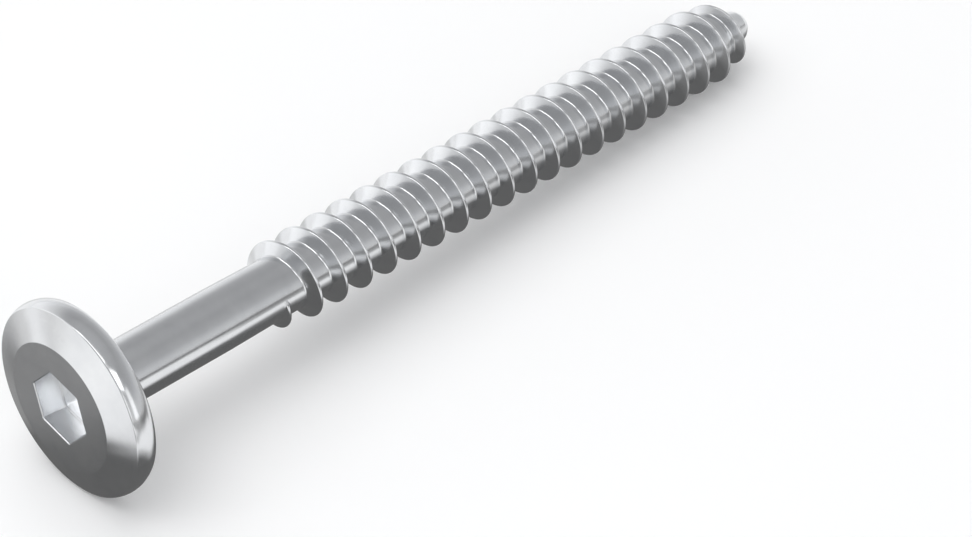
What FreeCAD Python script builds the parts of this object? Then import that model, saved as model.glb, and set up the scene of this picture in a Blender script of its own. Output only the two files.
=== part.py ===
import FreeCAD, Part
import math
import os

# One piece furniture connector screw, headed, turned and thread-rolled from one steel blank.
# It is drawn along the X axis, from the centre of the head's face towards the point.
# Angles about that axis count from +Y towards +Z, the way a right-hand thread advances.
# It then lies as it comes to rest, on the rim of the head and on the thread near the point.
# Sizes are in millimetres and angles in degrees.

# Head: a flat face, a broad bevel, a rim crowned in three straight bands, and a flat underside
head_diameter = 15.8
head_thickness = 2.75
face_diameter = 10.6
bevel_diameter = 15.4
bevel_depth = 0.85
rim_band_start = 1.38
rim_band_width = 0.72
underside_diameter = 15.1

# Hexagon socket for a 5 mm key
socket_width = 5.14
socket_depth = 2.1
socket_turn = 12.0

# Conical shoulder under the head, and the plain shank
shoulder_diameter = 9.4
shoulder_height = 1.05
shank_diameter = 5.0

# Thread: a narrow sharp fin on a core as thick as the shank
thread_diameter = 7.0
thread_pitch = 2.626
flank_angle = 25.0
thread_start = 20.0
thread_start_turn = 162.0
run_out_turn = 150.0

# Point: the core tapers, then a blunt cone ends it, and the fin fades out on both
overall_length = 75.8
taper_length = 4.4
point_base_diameter = 3.4
point_angle = 40.0
tip_diameter = 0.4
fade_length = 4.8
fade_end_gap = 0.9
fade_power = 0.5

# How the fin is drawn: points along each turn, how deep its foot sits in the core,
# and how deep its two ends are buried
points_per_turn = 43
foot_depth = 0.3
end_depth = 0.04

rim_band_end = rim_band_start + rim_band_width
thread_end = overall_length - fade_end_gap
thread_turns = (thread_end - thread_start) / thread_pitch
taper_start = overall_length - taper_length
cone_length = (point_base_diameter - tip_diameter) / 2 / math.tan(math.radians(point_angle))
point_start = overall_length - cone_length


def between(x, x_from, x_to, value_from, value_to):
    """Straight-line value at x, between two known ones."""
    return value_from + (value_to - value_from) * (x - x_from) / (x_to - x_from)


def core_radius(x):
    """Radius of the body under the thread, at distance x from the head's face."""
    if x <= taper_start:
        return shank_diameter / 2
    if x <= point_start:
        return between(x, taper_start, point_start, shank_diameter / 2, point_base_diameter / 2)
    return between(x, point_start, overall_length, point_base_diameter / 2, tip_diameter / 2)


def profile_point(x, radius):
    """A point of the turned outline."""
    return FreeCAD.Vector(x, radius, 0)


def turned_outline():
    """Corners of the outline, from the centre of the face round the rim and along to the tip."""
    return [
        profile_point(0, 0),
        profile_point(0, face_diameter / 2),
        profile_point(bevel_depth, bevel_diameter / 2),
        profile_point(rim_band_start, head_diameter / 2),
        profile_point(rim_band_end, head_diameter / 2),
        profile_point(head_thickness, underside_diameter / 2),
        profile_point(head_thickness, shoulder_diameter / 2),
        profile_point(head_thickness + shoulder_height, shank_diameter / 2),
        profile_point(taper_start, shank_diameter / 2),
        profile_point(point_start, point_base_diameter / 2),
        profile_point(overall_length, tip_diameter / 2),
        profile_point(overall_length, 0),
        profile_point(0, 0),
    ]


def turned_body():
    """Head, shoulder, shank, core and point as one body of revolution."""
    outline = Part.Face(Part.makePolygon(turned_outline()))
    return outline.revolve(FreeCAD.Vector(0, 0, 0), FreeCAD.Vector(1, 0, 0), 360)


def fin_share(x, turned):
    """How much of its full height the fin has: it rises in the run-out and fades at the point."""
    rise = 1.0
    if turned < run_out_turn:
        rise = math.sin(math.radians(90 * turned / run_out_turn))
    left = (thread_end - x) / fade_length
    fall = max(min(left, 1.0), 0.0) ** fade_power
    return min(rise, fall)


def fin_section(turned):
    """Three corners of the fin, after it has turned this far: foot, crest, foot."""
    x = thread_start + thread_pitch * turned / 360
    share = fin_share(x, turned)
    core = core_radius(x)
    height = (thread_diameter - shank_diameter) / 2
    crest = core + height * share - end_depth * (1 - share)
    foot = core - min(foot_depth, core / 2)
    foot_half = (crest - foot) * math.tan(math.radians(flank_angle))
    angle = math.radians(thread_start_turn + turned)
    return [
        FreeCAD.Vector(x + offset, radius * math.cos(angle), radius * math.sin(angle))
        for offset, radius in ((-foot_half, foot), (0, crest), (foot_half, foot))
    ]


def end_face(section):
    """Flat face that closes the fin."""
    return Part.Face(Part.makePolygon(section + section[:1]))


def thread_fin():
    """The thread as one fin: ruled faces between its three helical edges, and its two ends."""
    spans = int(math.ceil(thread_turns))
    step = 360 * thread_turns / (spans * points_per_turn)
    faces = []
    for span in range(spans):
        first = span * points_per_turn
        sections = [fin_section(step * (first + i)) for i in range(points_per_turn + 1)]
        edges = []
        for corner in range(3):
            curve = Part.BSplineCurve()
            curve.interpolate([section[corner] for section in sections])
            edges.append(curve.toShape())
        faces += [Part.makeRuledSurface(edges[i], edges[(i + 1) % 3]) for i in range(3)]
        if span == 0:
            faces.append(end_face(sections[0]))
        if span == spans - 1:
            faces.append(end_face(sections[-1]))
    shell = Part.makeShell(faces)
    shell.sewShape()
    fin = Part.Solid(Part.Shell(shell.Faces))
    if fin.Volume < 0:
        fin.reverse()
    return fin


def hexagon_socket():
    """The hexagon that the socket removes, from just outside the face to its flat floor."""
    corner_radius = socket_width / 2 / math.cos(math.radians(30))
    corners = []
    for i in range(7):
        angle = math.radians(socket_turn + 60 * i)
        corners.append(FreeCAD.Vector(0, corner_radius * math.cos(angle), corner_radius * math.sin(angle)))
    outside = FreeCAD.Vector(-1, 0, 0)
    floor = FreeCAD.Vector(socket_depth, 0, 0)
    hexagon = Part.Face(Part.makePolygon(corners))
    hexagon.translate(outside)
    return hexagon.extrude(floor - outside)


def rest_tilt():
    """Angle at which the lowest crest of the thread reaches the ground with the rim of the head."""
    tilts = []
    for turned in range(int(360 * thread_turns)):
        crest = fin_section(turned)[1]
        tilts.append(math.atan2(head_diameter / 2 + crest.z, crest.x - rim_band_end))
    return min(tilts)


def lie_down(screw):
    """Tilt the screw until it rests, and put its outline's bottom centre at the origin."""
    tilt = math.degrees(rest_tilt())
    across = FreeCAD.Vector(0, 1, 0)
    ground = turned_body()
    for shape in (screw, ground):
        shape.rotate(FreeCAD.Vector(0, 0, 0), across, tilt)
    box = ground.optimalBoundingBox(False, False)
    screw.translate(FreeCAD.Vector(-(box.XMin + box.XMax) / 2, 0, -box.ZMin))
    return screw


def connector_screw():
    """The whole screw as one solid."""
    threaded = turned_body().fuse(thread_fin())
    socketed = threaded.cut(hexagon_socket())
    return lie_down(socketed.Solids[0])


os.makedirs("parts", exist_ok=True)
connector_screw().exportStep("parts/connector_screw.step")
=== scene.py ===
import math

import bpy
import numpy as np
from mathutils import Matrix, Vector


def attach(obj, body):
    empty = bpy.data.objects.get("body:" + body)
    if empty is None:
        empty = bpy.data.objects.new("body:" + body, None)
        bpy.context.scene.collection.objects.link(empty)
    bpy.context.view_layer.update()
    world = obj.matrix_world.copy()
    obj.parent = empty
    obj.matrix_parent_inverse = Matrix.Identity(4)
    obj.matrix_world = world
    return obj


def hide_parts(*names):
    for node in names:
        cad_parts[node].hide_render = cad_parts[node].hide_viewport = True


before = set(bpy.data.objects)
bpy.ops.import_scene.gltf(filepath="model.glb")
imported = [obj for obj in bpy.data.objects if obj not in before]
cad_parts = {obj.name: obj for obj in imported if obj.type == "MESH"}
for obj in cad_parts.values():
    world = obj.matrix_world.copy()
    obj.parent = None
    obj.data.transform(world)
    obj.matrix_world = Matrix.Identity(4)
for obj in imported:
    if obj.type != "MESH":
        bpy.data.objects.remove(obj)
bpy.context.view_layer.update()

# Sizes are in millimetres, as in the part's source, and are scaled to metres when a mesh is made.
# Places along the screw count from the centre of the head's face, and radii from its axis.
MM = 0.001

# The screw's own axes in the row's frame
FACE_CENTRE = Vector((-37.65426, 0.0, 8.01974))
TILT = math.radians(3.7250225)
ALONG = Vector((math.cos(TILT), 0.0, -math.sin(TILT)))
ACROSS = Vector((0.0, 1.0, 0.0))
UPWARD = Vector((math.sin(TILT), 0.0, math.cos(TILT)))
AXES = np.array([ALONG, ACROSS, UPWARD])

# Head: a flat face, a broad bevel, a crowned rim, a small slanted edge and a flat underside
FACE_R = 5.3
BEVEL_R = 7.7
BEVEL_DEPTH = 0.85
HEAD_R = 7.9
HEAD_T = 2.75
CROWN_MIDDLE = 1.74
CROWN_INSET = 0.004
EDGE_DEPTH = 0.12
EDGE_R = 7.6
UNDERSIDE_R = 7.45

# Hexagon socket: its corners, upper edge and floor are rounded, and the floor is a little dished
SOCKET_WIDTH = 5.16
SOCKET_DEPTH = 2.1
SOCKET_TURN = math.radians(12.0)
SOCKET_CORNER = 0.15
SOCKET_EDGE = 0.11
SOCKET_FILLET = 0.12
SOCKET_DISH = 0.05
MATT_DEPTH = 0.3

# Section of the thread's fin: a small flat crest, two flanks, and fillets that run out into the core.
# The base is that of a fin of no height. The fillet's corner and the foot's edge lie outside the base.
CREST_HALF = 0.105
CREST_ROUNDING = 0.155
FLANK = math.radians(22.5)
BASE_HALF = 0.07
FILLET_OFFSET = 0.096
FILLET_DEPTH = 0.002
FILLET_ROUNDING = 0.26
FOOT_OFFSET = 0.352
FOOT_DEPTH = 0.03

# The fin's helix: it rises in the run-out, fades on the point, and is sunk where it is lowest
CREST_R = 3.5
PITCH = 2.626
THREAD_START = 20.0
START_TURN = math.radians(162.0)
RUN_OUT = math.radians(150.0)
THREAD_END = 74.0
FADE = 1.8
FADE_POWER = 0.5
LEAST_SHARE = 0.02
SUNK_SHARE = 0.125
SUNK_DEPTH = 0.05

# Conical shoulder, plain shank, and the small step from it down to the thread's core
SHOULDER_R = 4.7
SHOULDER_H = 1.05
SHANK_R = 2.51
STEP_START = THREAD_START - 5.0
STEP_END = THREAD_START + 0.3
SHANK_END = THREAD_START + 1.0

# Core and point: a taper, a round, a blunt cone, and a small round at the very tip.
# The thread's crest comes down a little where the taper starts.
CORE_R = 2.43
CORE_START = THREAD_START + 0.4
TAPER_START = 71.4
TAPER_ROUNDING = 2.0
TAPER_ANGLE = math.radians(18.0)
POINT_CENTRE = 74.1
POINT_ANGLE = math.radians(55.0)
TIP_RADIUS = 0.5
DROP_START = TAPER_START - 1.2
DROP_END = TAPER_START + 0.4
CREST_DROP = 0.4

# The face's sheet overlaps the lathed one by a hair, so that no gap shows
FACE_SEAM = FACE_R - 0.2
SEAM_OVERLAP = 0.01

# Share of its shorter side that a corner's rounding takes, where the corner is given no radius
SIDE_SHARE = 0.45

# Fineness of the mesh: points round the axis, along each turn of the thread, and on its rounds
HEAD_AROUND = 288
CORE_AROUND = 160
FIN_PER_TURN = 96
LONGEST_SPAN = 1.5
CROWN_STEPS = 8
POINT_STEPS = 8
FIN_STEPS = 6
SIDE_STEPS = 8
SOCKET_STEPS = 5


def smooth_step(low, high, value):
    """Goes smoothly from 0 where value is low to 1 where it is high."""
    share = np.clip((value - low) / (high - low), 0, 1)
    return share * share * (3 - 2 * share)


def quads_between(index):
    """Faces between the neighbouring rows and columns of a grid of point numbers."""
    corners = [index[:-1, :-1], index[:-1, 1:], index[1:, 1:], index[1:, :-1]]
    return np.stack(corners, axis=-1).reshape(-1, 4)


def added(name, data):
    """A new object in the scene, made of this mesh, lamp or camera."""
    obj = bpy.data.objects.new(name, data)
    bpy.context.collection.objects.link(obj)
    return obj


def store(mesh, name, values):
    """Keeps one value for each point of a mesh, for its material to read."""
    mesh.attributes.new(name, "FLOAT", "POINT").data.foreach_set("value", values)


class Skin:
    """Collects points, their normals and faces, and makes one smooth mesh of them."""

    def __init__(self):
        self.points = []
        self.normals = []
        self.matt = []
        self.faces = []
        self.count = 0

    def grid(self, points, normals, closed, flip=False, matt=0.0):
        """A sheet of rows and columns; closed joins its last column to its first, flip reverses it."""
        rows, columns = points.shape[:2]
        index = self.count + np.arange(rows * columns).reshape(rows, columns)
        if closed:
            index = np.concatenate([index, index[:, :1]], axis=1)
        quads = quads_between(index)
        self.faces.append(quads[:, ::-1] if flip else quads)
        self.points.append(points.reshape(-1, 3))
        self.normals.append(normals.reshape(-1, 3))
        self.matt.append(np.broadcast_to(matt, points.shape[:2]).ravel())
        self.count += rows * columns

    def build(self, name, material):
        """The mesh as an object, turned from the screw's own axes into the row's frame."""
        points = (np.array(FACE_CENTRE) + np.concatenate(self.points) @ AXES) * MM
        normals = np.concatenate(self.normals) @ AXES
        normals /= np.linalg.norm(normals, axis=1, keepdims=True)
        mesh = bpy.data.meshes.new(name)
        mesh.from_pydata(points.tolist(), [], np.concatenate(self.faces).tolist())
        mesh.polygons.foreach_set("use_smooth", [True] * len(mesh.polygons))
        mesh.update()
        mesh.normals_split_custom_set_from_vertices(normals.tolist())
        store(mesh, "matt", np.concatenate(self.matt))
        mesh.materials.append(material)
        return added(name, mesh)


def unit(vector):
    """The vector's direction, with a length of 1."""
    return vector / np.linalg.norm(vector)


def rotated(vector, angle):
    """A flat vector, turned to the left by this angle."""
    x, y = vector
    cos, sin = math.cos(angle), math.sin(angle)
    return np.array([x * cos - y * sin, x * sin + y * cos])


def left_of(direction):
    """Unit normal on the left of a flat direction."""
    x, y = unit(direction)
    return np.array([-y, x])


def rounded_line(corners):
    """An outline through corners, each given as x, radius, and its rounding with its steps.

    A rounding of None is nearly as large as the corner's sides allow, and the two ends aren't rounded.
    The rows that come back hold x, radius, and the x and radius of the normal.
    """
    points = [np.array(corner[:2], float) for corner in corners]
    rows = [(*points[0], *left_of(points[1] - points[0]))]
    for before, point, after, corner in zip(points, points[1:], points[2:], corners[1:]):
        rounding, steps = corner[2:]
        arriving, leaving = point - before, after - point
        cross = arriving[0] * leaving[1] - arriving[1] * leaving[0]
        bend = math.atan2(cross, arriving @ leaving)
        spread = math.tan(abs(bend) / 2)
        if rounding is None:
            rounding = SIDE_SHARE * min(math.hypot(*arriving), math.hypot(*leaving)) / spread
        offset = math.copysign(rounding, bend)
        side = left_of(arriving)
        start = point - unit(arriving) * rounding * spread
        centre = start + side * offset
        for k in range(steps + 1):
            normal = rotated(side, bend * k / steps)
            rows.append((*(centre - normal * offset), *normal))
    rows.append((*points[-1], *left_of(points[-1] - points[-2])))
    return np.array(rows)


def divided(rows):
    """The same outline, with points added wherever two are further apart than the longest span."""
    out = [rows[0]]
    for a, b in zip(rows, rows[1:]):
        pieces = max(1, math.ceil(math.dist(a[:2], b[:2]) / LONGEST_SPAN))
        out += [a + (b - a) * k / pieces for k in range(1, pieces + 1)]
    return np.array(out)


def lathe(skin, rows, around):
    """Turns an outline about the screw's axis."""
    angle = 2 * math.pi * np.arange(around) / around
    circle = np.stack([np.ones(around), np.cos(angle), np.sin(angle)], axis=-1)
    points = rows[:, None, [0, 1, 1]] * circle
    normals = rows[:, None, [2, 3, 3]] * circle
    skin.grid(points, normals, closed=True)


def arc_through(start, middle, end, steps):
    """Points of the arc from start through middle to end, without start itself."""
    a, b, c = np.array(start), np.array(middle), np.array(end)
    # The centre is as far from a as from b, and as far from b as from c
    centre = np.linalg.solve([b - a, c - b], [(b @ b - a @ a) / 2, (c @ c - b @ b) / 2])
    radius = math.dist(a, centre)
    turn_from = math.atan2(a[1] - centre[1], a[0] - centre[0])
    turn_to = math.atan2(c[1] - centre[1], c[0] - centre[0])
    turns = [turn_from + (turn_to - turn_from) * k / steps for k in range(1, steps + 1)]
    return [centre + radius * np.array([math.cos(turn), math.sin(turn)]) for turn in turns]


def head_and_shank(skin):
    """Bevel, crowned rim, underside, shoulder and shank, down to the thread's core."""
    bevel_end = (BEVEL_DEPTH, BEVEL_R)
    widest = (CROWN_MIDDLE, HEAD_R - CROWN_INSET)
    crown_end = (HEAD_T - EDGE_DEPTH, EDGE_R)
    crown = arc_through(bevel_end, widest, crown_end, CROWN_STEPS)
    rows = rounded_line([
        (0.0, FACE_SEAM),
        (0.0, FACE_R, 0.09, 4),
        (*bevel_end, 0.18, 4),
        *[(*point, None, 3) for point in crown[:-1]],
        (*crown[-1], 0.16, 5),
        (HEAD_T, UNDERSIDE_R, 0.12, 4),
        (HEAD_T, SHOULDER_R, 0.1, 4),
        (HEAD_T + SHOULDER_H, SHANK_R, 0.35, 8),
        (STEP_START, SHANK_R, 0.5, 4),
        (STEP_END, CORE_R, 0.5, 4),
        (SHANK_END, CORE_R),
    ])
    lathe(skin, divided(rows), HEAD_AROUND)


def core_and_point():
    """Outline of the thread's core, its taper and the blunt point with its rounded tip."""
    taper = (POINT_CENTRE - TAPER_START) * math.tan(TAPER_ANGLE)
    radius = (CORE_R - taper) * math.cos(TAPER_ANGLE)
    touch = (POINT_CENTRE + radius * math.sin(TAPER_ANGLE), radius * math.cos(TAPER_ANGLE))
    rows = rounded_line([(CORE_START, CORE_R), (TAPER_START, CORE_R, TAPER_ROUNDING, 5), touch])
    tip_centre = POINT_CENTRE + (radius - TIP_RADIUS) / math.sin(POINT_ANGLE)
    rounds = (
        (POINT_CENTRE, radius, TAPER_ANGLE, POINT_ANGLE),
        (tip_centre, TIP_RADIUS, POINT_ANGLE, math.pi / 2),
    )
    end = []
    for centre, size, turn_from, turn_to in rounds:
        for k in range(POINT_STEPS + 1):
            turn = turn_from + (turn_to - turn_from) * k / POINT_STEPS
            # The outline stops just short of the axis, so that no face closes up to a line
            reach = max(math.cos(turn), 1e-4)
            end.append((centre + size * math.sin(turn), size * reach, math.sin(turn), reach))
    # The first round starts at the end of the taper, which is there already
    return np.concatenate([divided(rows), end[1:]])


def fin_section(height):
    """Offsets along the axis and heights above the core, across a fin of this height."""
    half = BASE_HALF + height * math.tan(FLANK)
    back = [
        (-half - FOOT_OFFSET, -FOOT_DEPTH),
        (-half - FILLET_OFFSET, -FILLET_DEPTH, FILLET_ROUNDING, FIN_STEPS),
        (-CREST_HALF, height, CREST_ROUNDING, FIN_STEPS),
    ]
    front = [(-offset, *rest) for offset, *rest in reversed(back)]
    return rounded_line(back + front)[:, :2].T


def fin_share(x, turned):
    """How much of its full height the fin has: it rises in the run-out and fades on the point."""
    rise = math.sin(math.pi / 2 * min(turned / RUN_OUT, 1.0))
    fall = max(min((THREAD_END - x) / FADE, 1.0), 0.0) ** FADE_POWER
    return max(min(rise, fall), LEAST_SHARE)


def fin(skin, core):
    """The thread's fin: one section carried along the helix, its low ends sunk in the core."""
    turns = (THREAD_END - THREAD_START) / PITCH
    count = int(FIN_PER_TURN * turns) + 1

    def core_radius(x):
        return np.interp(x, core[:, 0], core[:, 1])

    sheet = []
    for i in range(count):
        turned = 2 * math.pi * turns * i / (count - 1)
        x = THREAD_START + PITCH * turned / (2 * math.pi)
        share = fin_share(x, turned)
        crest = CREST_R - CREST_DROP * smooth_step(DROP_START, DROP_END, x)
        offsets, heights = fin_section((crest - core_radius(x)) * share)
        sunk = SUNK_DEPTH * max(0.0, 1.0 - share / SUNK_SHARE)
        along = x + offsets
        radius = core_radius(along) + heights - sunk
        angle = START_TURN + turned
        sheet.append(np.stack([along, radius * math.cos(angle), radius * math.sin(angle)], axis=-1))
    points = np.transpose(np.array(sheet), (1, 0, 2))
    # The normals stand on the sheet's own two directions, and point away from the axis.
    # A tiny amount is added, so that no sign is zero.
    normals = np.cross(np.gradient(points, axis=1), np.gradient(points, axis=0))
    outward = points * [0, 1, 1]
    normals *= np.sign(np.sum(normals * outward, axis=-1, keepdims=True) + 1e-12)
    skin.grid(points, normals, closed=False)


def hexagon():
    """Points round the socket's hexagon with rounded corners, and their outward normals."""
    flat = SOCKET_WIDTH / 2
    half_side = (flat - SOCKET_CORNER) * math.tan(math.pi / 6)
    points = []
    normals = []
    for side in range(6):
        middle = SOCKET_TURN + math.radians(30 + 60 * side)
        out = np.array([math.cos(middle), math.sin(middle)])
        along = np.array([-out[1], out[0]])
        for k in range(-SIDE_STEPS, SIDE_STEPS + 1):
            points.append(out * flat + along * half_side * k / SIDE_STEPS)
            normals.append(out)
        centre = out * (flat - SOCKET_CORNER) + along * half_side
        for k in range(1, SIDE_STEPS):
            normal = rotated(out, math.radians(60 * k / SIDE_STEPS))
            points.append(centre + normal * SOCKET_CORNER)
            normals.append(normal)
    return np.array(points), np.array(normals)


def face_and_socket(skin):
    """The flat face round the hexagon socket, the socket's rounded edge, its walls and its floor."""
    outline, outward = hexagon()
    points = []
    normals = []

    def ring(x, loop, out=1.0, inward=0.0):
        """One loop of the sheet, whose normals face out of the head, inward, or between the two."""
        points.append(np.column_stack([np.full(len(loop), x), loop]))
        normals.append(np.column_stack([np.full(len(loop), -out), -inward * outward]))

    directions = outline / np.linalg.norm(outline, axis=1, keepdims=True)
    ring(0.0, directions * (FACE_SEAM + SEAM_OVERLAP))
    # The edge bends from the face into the walls, and the fillet from the walls to the floor
    turns = np.linspace(0, math.pi / 2, SOCKET_STEPS + 1)
    for x, rounding, bends in ((0.0, SOCKET_EDGE, turns), (SOCKET_DEPTH, -SOCKET_FILLET, turns[::-1])):
        for turn in bends:
            out, inward = math.cos(turn), math.sin(turn)
            ring(x + rounding * (1 - out), outline + outward * rounding * (1 - inward), out, inward)
    # The floor dips towards its middle
    for width, dip in ((0.5, 0.4), (0.01, 1.0)):
        ring(SOCKET_DEPTH + SOCKET_DISH * dip, outline * width)
    points = np.stack(points)
    matt = np.clip(points[..., 0] / MATT_DEPTH, 0, 1)
    skin.grid(points, np.stack(normals), closed=True, flip=True, matt=matt)


def node(tree, kind, operation=None, **values):
    """Adds a node, and sets its operation, and its inputs by name."""
    made = tree.nodes.new(kind)
    if operation:
        made.operation = operation
    for name, value in values.items():
        made.inputs[name.replace("_", " ")].default_value = value
    return made


def stored(tree, name):
    """Adds a node that reads the value kept under this name for each point of a mesh."""
    made = node(tree, "ShaderNodeAttribute")
    made.attribute_name = name
    return made


def ramp(tree, stops):
    """Adds a colour ramp through these positions and colours."""
    made = node(tree, "ShaderNodeValToRGB")
    elements = made.color_ramp.elements
    while len(elements) < len(stops):
        elements.new(0.5)
    for element, (position, colour) in zip(elements, stops):
        element.position = position
        element.color = (*colour, 1)
    return made


def plated_steel():
    """Bright zinc-plated steel: fine turning marks round the axis, faint blotches and a little wear."""
    material = bpy.data.materials.new("plated_steel_finish")
    material.use_nodes = True
    tree = material.node_tree
    link = tree.links.new
    shader = tree.nodes["Principled BSDF"]
    shader.inputs["Metallic"].default_value = 1.0

    # Millimetres along the screw's own axes
    place = node(tree, "ShaderNodeTexCoord")
    own = node(tree, "ShaderNodeMapping", Rotation=(0.0, -TILT, 0.0), Scale=(1000.0, 1000.0, 1000.0))
    link(place.outputs["Object"], own.inputs["Vector"])

    # Faint blotches in the plating's colour
    blotch = node(tree, "ShaderNodeTexNoise", Scale=0.55, Detail=4.0, Roughness=0.55)
    link(own.outputs["Vector"], blotch.inputs["Vector"])
    tone = ramp(tree, ((0.3, (0.745, 0.755, 0.77)), (0.7, (0.805, 0.815, 0.825))))
    link(blotch.outputs["Fac"], tone.inputs["Fac"])
    link(tone.outputs["Color"], shader.inputs["Base Color"])

    # Specks of wear in its gloss, and a punched socket that is duller than the turned surfaces
    speck = node(tree, "ShaderNodeTexNoise", Scale=6.0, Detail=2.0, Roughness=0.6)
    link(own.outputs["Vector"], speck.inputs["Vector"])
    gloss = node(tree, "ShaderNodeMapRange", From_Min=0.3, From_Max=0.7, To_Min=0.13, To_Max=0.18)
    link(speck.outputs["Fac"], gloss.inputs["Value"])
    rough = node(tree, "ShaderNodeMath", "MULTIPLY_ADD")
    rough.inputs[1].default_value = 0.05
    link(stored(tree, "matt").outputs["Fac"], rough.inputs[0])
    link(gloss.outputs["Result"], rough.inputs[2])
    link(rough.outputs["Value"], shader.inputs["Roughness"])

    # Turning marks: noise that changes quickly along the axis and slowly round it
    squeezed = node(tree, "ShaderNodeMapping", Scale=(9.0, 0.35, 0.35))
    link(own.outputs["Vector"], squeezed.inputs["Vector"])
    marks = node(tree, "ShaderNodeTexNoise", Scale=1.6, Detail=3.0, Roughness=0.6)
    link(squeezed.outputs["Vector"], marks.inputs["Vector"])
    bump = node(tree, "ShaderNodeBump", Strength=0.06, Distance=0.00002)
    link(marks.outputs["Fac"], bump.inputs["Height"])
    link(bump.outputs["Normal"], shader.inputs["Normal"])
    return material


skin = Skin()
core = core_and_point()
head_and_shank(skin)
lathe(skin, core, CORE_AROUND)
fin(skin, core)
face_and_socket(skin)
screw = skin.build("screw_surface", plated_steel())
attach(screw, "root")
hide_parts("connector_screw")


# Floor: its half width and its depth under the ground, so that it touches nothing
FLOOR_HALF = 3000.0
FLOOR_DEPTH = 0.02


def white_paper():
    """Matt white paper, a little brighter to the camera and in the metal than it is lit."""
    material = bpy.data.materials.new("floor_paper")
    material.use_nodes = True
    tree = material.node_tree
    link = tree.links.new
    shader = tree.nodes["Principled BSDF"]
    shader.inputs["Base Color"].default_value = (0.86, 0.86, 0.86, 1)
    shader.inputs["Roughness"].default_value = 0.6
    shader.inputs["Specular IOR Level"].default_value = 0.2
    shader.inputs["Emission Color"].default_value = (1, 1, 1, 1)
    rays = node(tree, "ShaderNodeLightPath")
    seen = node(tree, "ShaderNodeMath", "MAXIMUM")
    link(rays.outputs["Is Camera Ray"], seen.inputs[0])
    link(rays.outputs["Is Glossy Ray"], seen.inputs[1])
    lift = node(tree, "ShaderNodeMath", "MULTIPLY")
    lift.inputs[1].default_value = 0.08
    link(seen.outputs["Value"], lift.inputs[0])
    link(lift.outputs["Value"], shader.inputs["Emission Strength"])
    return material


def paper_floor():
    """A wide flat sheet of paper under the screw."""
    corners = [(-1, -1), (1, -1), (1, 1), (-1, 1)]
    points = [Vector((x * FLOOR_HALF, y * FLOOR_HALF, -FLOOR_DEPTH)) * MM for x, y in corners]
    mesh = bpy.data.meshes.new("floor")
    mesh.from_pydata(points, [], [(0, 1, 2, 3)])
    mesh.materials.append(white_paper())
    floor = added("floor", mesh)


# Card of painted reflections, in millimetres on the floor: its height, and the screw's two ends along x
CARD_HEIGHT = 0.05
SCREW_END = 38


def patch(x, y, centre, reach):
    """A soft round patch: 1 within half its reach along x and y, 0 from a little beyond its reach."""
    across = (x - centre[0]) / reach[0]
    along = (y - centre[1]) / reach[1]
    return 1 - smooth_step(0.5, 1.3, np.hypot(across, along))


def painted_reflection_tones(x, y):
    """How much of the painted-reflection card there is at these places on the floor, and how bright its
    glow is.
    """
    # Distance from the screw's axis, measured in heights of the axis above the floor
    beside = np.clip(x, -SCREW_END, SCREW_END)
    height = FACE_CENTRE.z - math.tan(TILT) * (beside - FACE_CENTRE.x)
    from_axis = np.hypot(x - beside, y) / height

    # Painted shade in the metal: dark under the screw, with a softer edge by the thread, before the
    # face and round the head
    by_thread = smooth_step(-8, 22, x)
    under_screw = 1 - smooth_step(1.27 - 0.42 * by_thread, 1.7 + 0.85 * by_thread, from_axis)
    beyond_face = np.hypot(1.18 * (x + 41), np.where(y > 5, 0.55, 1.0) * (y - 5))
    before_face = 1 - smooth_step(5, 17, beyond_face)
    round_head = 1 - smooth_step(0.95, 1.35, np.hypot((x + SCREW_END) / 9, y / 16))
    dark = np.maximum(np.maximum(under_screw, before_face), round_head)

    # Painted pale reflection beside the thread, on the camera's side
    pale = by_thread * (1 - smooth_step(3.0, 3.6, from_axis)) * smooth_step(3, 6, -y)

    # Painted grey reflection further out on the camera's side, furthest where the shank sees it
    bearing = np.degrees(np.arctan2(y, x + SCREW_END))
    by_shank = smooth_step(-38, -46, bearing) * smooth_step(-100, -80, bearing)
    grey_from = 1.6 + 1.3 * smooth_step(-150, -115, bearing) + 1.2 * by_shank
    grey_to = grey_from + 0.8 + 2.4 * by_shank
    grey = smooth_step(grey_from, grey_to, from_axis) * smooth_step(3, 12, -y)
    grey *= 1 - patch(x, y, (-62, -44), (22, 22))

    # Each layer covers those before it. The dark layers are painted shade in the metal, and the patches
    # brighter than 1 are painted highlights
    layers = (
        (pale, 0.66),
        (grey, 0.40),
        (patch(x, y, (10, -75), (30, 45)), 0.18),
        (patch(x, y, (80, -100), (60, 65)), 0.66),
        (patch(x, y, (-13, 28), (16, 14)), 0.72),
        (patch(x, y, (-49, 31), (12, 9)), 0.74),
        (patch(x, y, (-108, 20), (42, 22)), 1.12),
        (patch(x, y, (-95, 64), (28, 20)), 0.74),
        (dark, 0.135),
        (patch(x, y, (-44, 4), (6, 5)), 0.165),
        (patch(x, y, (-46, 13), (9, 9)), 0.27),
        (patch(x, y, (-35, 12), (4, 5)), 0.34),
        (patch(x, y, (-72, -27), (10, 9)), 1.4),
    )
    cover = np.zeros(x.shape)
    light = np.zeros(x.shape)
    for mask, brightness in layers:
        cover = cover * (1 - mask) + mask
        light = light * (1 - mask) + brightness * mask
    return cover, light / np.maximum(cover, 1e-6)


def painted_reflection_glow():
    """Glow of the painted reflections where there is card, and nothing where there is none."""
    material = bpy.data.materials.new("painted_reflection_card")
    material.use_nodes = True
    tree = material.node_tree
    tree.nodes.clear()
    link = tree.links.new
    glow = node(tree, "ShaderNodeEmission")
    clear = node(tree, "ShaderNodeBsdfTransparent")
    mix = node(tree, "ShaderNodeMixShader")
    out = node(tree, "ShaderNodeOutputMaterial")
    link(stored(tree, "tone").outputs["Fac"], glow.inputs["Strength"])
    link(stored(tree, "cover").outputs["Fac"], mix.inputs["Fac"])
    link(clear.outputs["BSDF"], mix.inputs[1])
    link(glow.outputs["Emission"], mix.inputs[2])
    link(mix.outputs["Shader"], out.inputs["Surface"])
    return material


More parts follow.
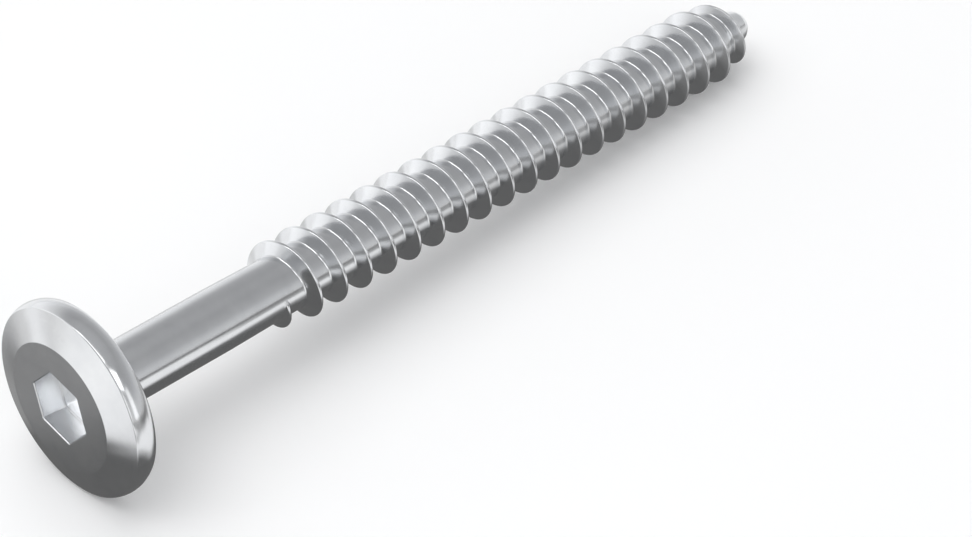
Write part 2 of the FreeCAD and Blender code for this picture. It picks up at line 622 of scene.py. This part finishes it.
def painted_reflection_card():
    """A glowing card on the floor that only the metal sees, with painted reflections: painted shade
    close under the screw, grey further out.
    """
    # The points are 3 mm apart, and the card reaches further on the camera's side
    x, y = np.meshgrid(np.linspace(-300, 300, 201), np.linspace(-300, 120, 141))
    cover, tone = painted_reflection_tones(x, y)
    points = np.stack([x, y, np.full(x.shape, CARD_HEIGHT)], axis=-1).reshape(-1, 3) * MM
    quads = quads_between(np.arange(x.size).reshape(x.shape))
    mesh = bpy.data.meshes.new("painted_reflection_card")
    mesh.from_pydata(points.tolist(), [], quads.tolist())
    store(mesh, "cover", cover.ravel())
    store(mesh, "tone", tone.ravel())
    mesh.materials.append(painted_reflection_glow())
    card = added("painted_reflection_card", mesh)
    # Only the metal's gloss sees the card, so its glow shows only as painted reflection
    card.visible_camera = False
    card.visible_shadow = False
    card.visible_diffuse = False
    card.visible_transmission = False


paper_floor()
painted_reflection_card()


def towards(heading, height):
    """Unit direction at this compass angle from +X and this angle above the floor, in degrees."""
    heading, height = math.radians(heading), math.radians(height)
    level = math.cos(height)
    return Vector((math.cos(heading) * level, math.sin(heading) * level, math.sin(height)))


def softbox(name, direction, width, height, radiance, distance=0.6):
    """A soft area lamp in this direction from the screw, facing it, with its sizes in metres."""
    lamp = bpy.data.lights.new(name, "AREA")
    lamp.shape = "RECTANGLE"
    lamp.size = width
    lamp.size_y = height
    lamp.energy = radiance * math.pi * width * height
    obj = added(name, lamp)
    obj.location = direction * distance
    obj.rotation_euler = direction.to_track_quat("Z", "Y").to_euler()
    return obj


softbox("softbox_back_left", towards(136, 5), width=0.34, height=0.16, radiance=0.12)
softbox("softbox_right", towards(-88, 16), width=0.18, height=0.36, radiance=0.62)
softbox("softbox_front_low", towards(-122, 12), width=0.16, height=0.30, radiance=1.2)
softbox("softbox_right_high", towards(-113, 43), width=0.26, height=0.22, radiance=1.7)
softbox("softbox_front", towards(-177, 60), width=0.46, height=0.24, radiance=1.7)
softbox("softbox_left", towards(153, 38), width=0.13, height=0.11, radiance=2.2)

# The largest one lights the floor, and doesn't show in the metal
above = towards(80, 70)
overhead = softbox("softbox_overhead", above, width=1.2, height=1.2, radiance=1.3, distance=1.0)
overhead.visible_glossy = False


def studio_walls():
    """The room: pale near the floor and mid grey above, with a broad soft glow at the back left."""
    world = bpy.context.scene.world or bpy.data.worlds.new("studio")
    bpy.context.scene.world = world
    world.use_nodes = True
    tree = world.node_tree
    link = tree.links.new
    place = node(tree, "ShaderNodeTexCoord")
    parts = node(tree, "ShaderNodeSeparateXYZ")
    link(place.outputs["Generated"], parts.inputs["Vector"])
    levels = ((0.0, 0.68), (0.2, 0.60), (0.42, 0.46), (0.75, 0.39), (1.0, 0.48))
    wall = ramp(tree, [(position, (v * 0.99, v, v * 1.02)) for position, v in levels])
    link(parts.outputs["Z"], wall.inputs["Fac"])

    # The glow is wider than it is high, so height counts for more than heading
    squeezed = node(tree, "ShaderNodeVectorMath", "MULTIPLY")
    squeezed.inputs[1].default_value = (1.0, 1.0, 1.6)
    link(place.outputs["Generated"], squeezed.inputs[0])
    aimed = node(tree, "ShaderNodeVectorMath", "NORMALIZE")
    link(squeezed.outputs["Vector"], aimed.inputs[0])
    facing = node(tree, "ShaderNodeVectorMath", "DOT_PRODUCT")
    facing.inputs[1].default_value = towards(105, 5)
    link(aimed.outputs["Vector"], facing.inputs[0])
    glow = node(tree, "ShaderNodeMapRange", From_Min=0.42, From_Max=0.90, To_Max=0.42)
    glow.interpolation_type = "SMOOTHSTEP"
    link(facing.outputs["Value"], glow.inputs["Value"])
    total = node(tree, "ShaderNodeVectorMath", "ADD")
    link(wall.outputs["Color"], total.inputs[0])
    link(glow.outputs["Result"], total.inputs[1])
    link(total.outputs["Vector"], tree.nodes["Background"].inputs["Color"])


studio_walls()

# The photo's own view: the camera's place, the way it faces and how far it looks down, and its
# focal length in pixels of an image this wide
EYE = Vector((-133.0609, -137.3725, 163.4124))
VIEW_HEADING = math.radians(44.5862)
VIEW_DOWN = math.radians(40.8227)
FOCAL_PIXELS = 3123.08
IMAGE_WIDTH = 972.0
SENSOR_WIDTH = 36.0


def photo_camera():
    """A level camera at the photo's own viewpoint."""
    data = bpy.data.cameras.new("camera")
    data.sensor_width = SENSOR_WIDTH
    data.lens = FOCAL_PIXELS * SENSOR_WIDTH / IMAGE_WIDTH
    data.clip_start = 0.01
    data.clip_end = 20.0
    ahead = Vector((math.cos(VIEW_HEADING), math.sin(VIEW_HEADING), 0.0))
    right = Vector((math.sin(VIEW_HEADING), -math.cos(VIEW_HEADING), 0.0))
    up = ahead * math.sin(VIEW_DOWN) + Vector((0, 0, math.cos(VIEW_DOWN)))
    forward = ahead * math.cos(VIEW_DOWN) - Vector((0, 0, math.sin(VIEW_DOWN)))
    turn = Matrix((right, up, -forward)).transposed().to_4x4()
    camera = added("camera", data)
    camera.matrix_world = Matrix.Translation(EYE * MM) @ turn
    return camera


scene = bpy.context.scene
scene.camera = photo_camera()
scene.view_settings.view_transform = "Standard"
